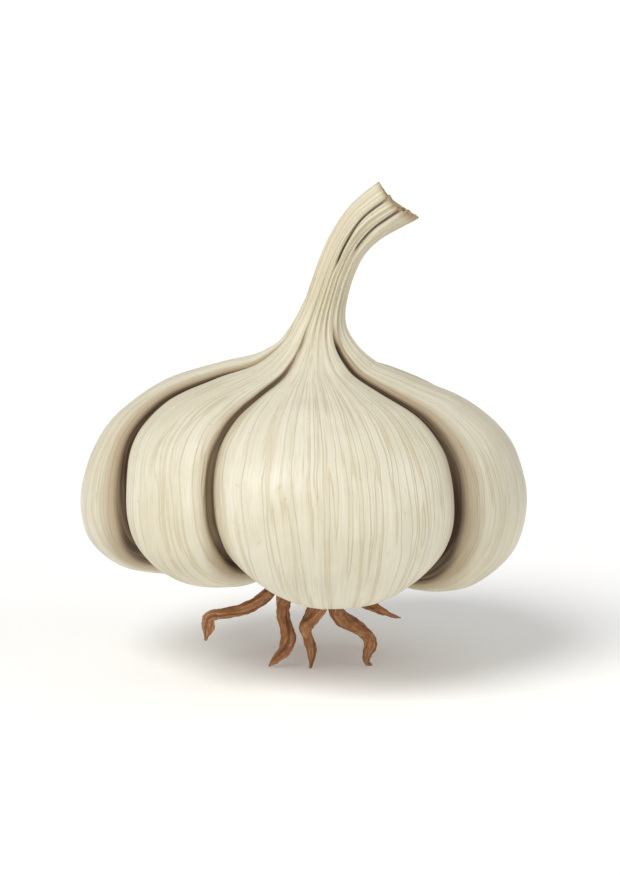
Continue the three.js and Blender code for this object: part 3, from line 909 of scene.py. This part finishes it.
ROOTS = {  # each point's place, then the root's half width there, all in millimetres
    "root_far_left": [
        (-3.6, -0.8, 13.6, 1.3), (-4.3, -1.1, 10.8, 1.1), (-5.8, -1.6, 9.2, 0.98),
        (-8.2, -2, 7.8, 0.86), (-11.2, -2.3, 7.2, 0.72), (-13.2, -2.4, 6.7, 0.66),
        (-13.4, -2.2, 5.2, 0.82), (-13.7, -2, 3.4, 0.14),
    ],
    "root_left": [
        (-1.6, -2.7, 13.6, 1.2), (-2.7, -3.1, 9.8, 0.92), (-3.2, -3.5, 8.1, 0.84),
        (-2.7, -4, 5.5, 0.88), (-2.4, -4.2, 4.1, 0.86), (-3, -4.2, 2.5, 0.78),
        (-4.2, -4, 1.1, 0.58), (-5.1, -3.9, 0.12, 0.12),
    ],
    "root_middle": [
        (1.2, -3.3, 13.6, 1.4), (1.6, -3.8, 8.9, 1.2), (0.8, -4.3, 7, 1.0), (-0.1, -4.6, 5.7, 0.98),
        (0.3, -4.7, 4.3, 0.8), (0.8, -4.8, 2.4, 0.72), (0.6, -4.7, 0.12, 0.12),
    ],
    "root_right": [
        (4.2, -2.3, 13.6, 1.4), (3.9, -3.1, 8.6, 1.15), (4.5, -3.4, 6.8, 0.95), (6.6, -3.5, 5.4, 0.85),
        (8.3, -3.5, 4.4, 1.0), (8.8, -3.4, 3.1, 1.02), (8.3, -3.3, 1.7, 0.66), (8.3, -3.2, 0.6, 0.36),
        (9, -3.1, 0.12, 0.1),
    ],
    "root_far_right": [
        (6.8, -0.4, 13.6, 1.25), (7.2, -0.9, 10, 1.1), (8.2, -1.2, 8.7, 0.95), (9.5, -1.4, 7.7, 0.66),
        (11.3, -1.6, 6.9, 0.4), (13, -1.7, 6.4, 0.12),
    ],
    "root_back_left": [
        (-1.4, 3.8, 13.6, 1.2), (-2.8, 5.2, 9, 0.95), (-3.2, 6.2, 6.5, 0.9), (-3, 6.8, 5, 0.86),
        (-2.6, 7.4, 3, 0.72), (-2.5, 7.8, 1.5, 0.52), (-3.2, 8, 0.12, 0.12),
    ],
    "root_back_middle": [
        (1.6, 4.8, 13.6, 1.2), (1.5, 6.4, 8.8, 1.0), (1.4, 7, 6.5, 0.86), (0.8, 7.6, 5, 0.9),
        (0, 8.2, 3.5, 0.74), (0.3, 8.7, 2, 0.5), (0.7, 9.1, 0.12, 0.12),
    ],
    "root_back_right": [
        (4.6, 3.7, 13.6, 1.2), (4.4, 5.2, 9, 0.96), (4, 6.2, 6.5, 0.86), (4.7, 6.8, 5, 0.86),
        (6.5, 7.2, 3.6, 0.92), (7.9, 7.6, 2.4, 0.84), (8.6, 7.9, 1.2, 0.5), (8.4, 8, 0.12, 0.12),
    ],
}
ROOT_FLATNESS = 0.75
ROOT_FULLNESS = 1.14  # makes up for what the furrows take off its width
# How far out each ridge and each furrow of a root's section reaches, round it in turn.
FURROWS = [1, 0.8, 1.06, 0.86, 0.98, 0.74, 1.08, 0.84, 1.0, 0.78, 1.04, 0.88]
STEPS_PER_POINT = 14
STEPS_PER_FURROW = 4
ROOT_GRAIN_STRETCH = 0.22
ROOT_TWISTS = [0.35, 0.47, 0.59]  # radians from one point to the next, in turn
KNOTS = ("CLOUDS", 1.3, 0.34)  # kind of texture, size of its lumps and height
WRINKLES = ("CLOUDS", 0.35, 0.14)


def root_section():
    """The furrowed section that every root is drawn through, one millimetre in radius."""
    bpy.ops.object.select_all(action="DESELECT")
    bpy.ops.curve.primitive_bezier_circle_add(radius=MM)
    section = bpy.context.object
    bpy.ops.object.mode_set(mode="EDIT")
    bpy.ops.curve.select_all(action="SELECT")
    bpy.ops.curve.subdivide(number_cuts=len(FURROWS) // 4 - 1)
    bpy.ops.object.mode_set(mode="OBJECT")
    section.data.resolution_u = STEPS_PER_FURROW
    for point, reach in zip(section.data.splines[0].bezier_points, FURROWS):
        point.handle_left_type = point.handle_right_type = "AUTO"
        point.co = Vector((point.co.x, point.co.y * ROOT_FLATNESS, 0)) * reach
    return section


def grown_root(name, points, section, twist):
    """A root drawn along its points, twisting as it goes, closed at both ends."""
    bpy.ops.object.select_all(action="DESELECT")
    bpy.ops.curve.primitive_bezier_curve_add()
    root = bpy.context.object
    root.name = name
    curve = root.data
    curve.dimensions = "3D"
    curve.twist_mode = "MINIMUM"
    curve.bevel_mode = "OBJECT"
    curve.bevel_object = section
    curve.resolution_u = STEPS_PER_POINT
    spline = curve.splines[0]
    spline.bezier_points.add(len(points) - 2)
    for number, (point, (x, y, z, half_width)) in enumerate(zip(spline.bezier_points, points)):
        point.co = Vector((x, y, z)) * MM
        point.handle_left_type = point.handle_right_type = "AUTO"
        point.radius = half_width * ROOT_FULLNESS
        point.tilt = twist * number
    bpy.ops.object.convert(target="MESH")
    root = bpy.context.object
    root.name = root.data.name = name

    columns = len(FURROWS) * STEPS_PER_FURROW
    places = np.array([vertex.co for vertex in root.data.vertices]).reshape(-1, columns, 3)
    reach = np.linalg.norm(places - places.mean(axis=1, keepdims=True), axis=2)
    set_mark(root, "furrow", 1 - reach / reach.max(axis=1, keepdims=True))
    lengthwise = np.arange(len(places))[:, None, None] / STEPS_PER_POINT
    stretched = np.array([0, 0, ROOT_GRAIN_STRETCH]) * lengthwise
    set_mark(root, "grain", circle(columns)[1] + stretched)
    bpy.ops.object.mode_set(mode="EDIT")
    bpy.ops.mesh.select_all(action="SELECT")
    bpy.ops.mesh.fill_holes(sides=0)
    bpy.ops.object.mode_set(mode="OBJECT")
    roughen(root, name + "_knots", *KNOTS)
    roughen(root, name + "_wrinkles", *WRINKLES)
    finish_mesh(root)
    return root


def dried_root_material():
    """Dried root: warm brown, streaked along its length, with painted shade in the furrows."""
    material, tree, shader = new_material("dried_root")
    furrow = mark_of(tree, "furrow")
    place = add(tree, "ShaderNodeTexCoord").outputs["Object"]
    patches = cloud(tree, place, 420, 4, 0.6)
    soil = cloud(tree, place, 1900, 3, 0.6)
    fibres, bands = streaked(tree, mark_of(tree, "grain", "Vector"), 7, 0.12)
    colour = stain(tree, srgb(204, 148, 104), (176, 120, 78), ramp(tree, patches, 0.38, 0.62))
    colour = stain(tree, colour, (222, 176, 132), ramp(tree, bands, 0.5, 0.7), 0.6)
    colour = stain(tree, colour, (122, 78, 46), fibres, 0.55)
    # Painted shade in the furrows.
    colour = stain(tree, colour, (84, 50, 28), ramp(tree, furrow, 0.28, 0.5), 0.6)
    colour = stain(tree, colour, (92, 72, 52), ramp(tree, soil, 0.6, 0.7), 0.6)
    roughness = ramp(tree, patches, 0.3, 0.7, 0.6, 0.85)
    relief = maths(tree, "MULTIPLY_ADD", soil, 0.6, bands)
    surface(tree, shader, colour, roughness, relief, 0.8, 0.12)
    shader["Specular IOR Level"].default_value = 0.3
    return material


dried_root = dried_root_material()
section = root_section()
for number, (name, points) in enumerate(ROOTS.items()):
    twist = ROOT_TWISTS[number % len(ROOT_TWISTS)]
    root = grown_root(name + "_dried", points, section, twist)
    root.data.materials.append(dried_root)
    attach(root, "root")
    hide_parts(name)
bpy.data.objects.remove(section)
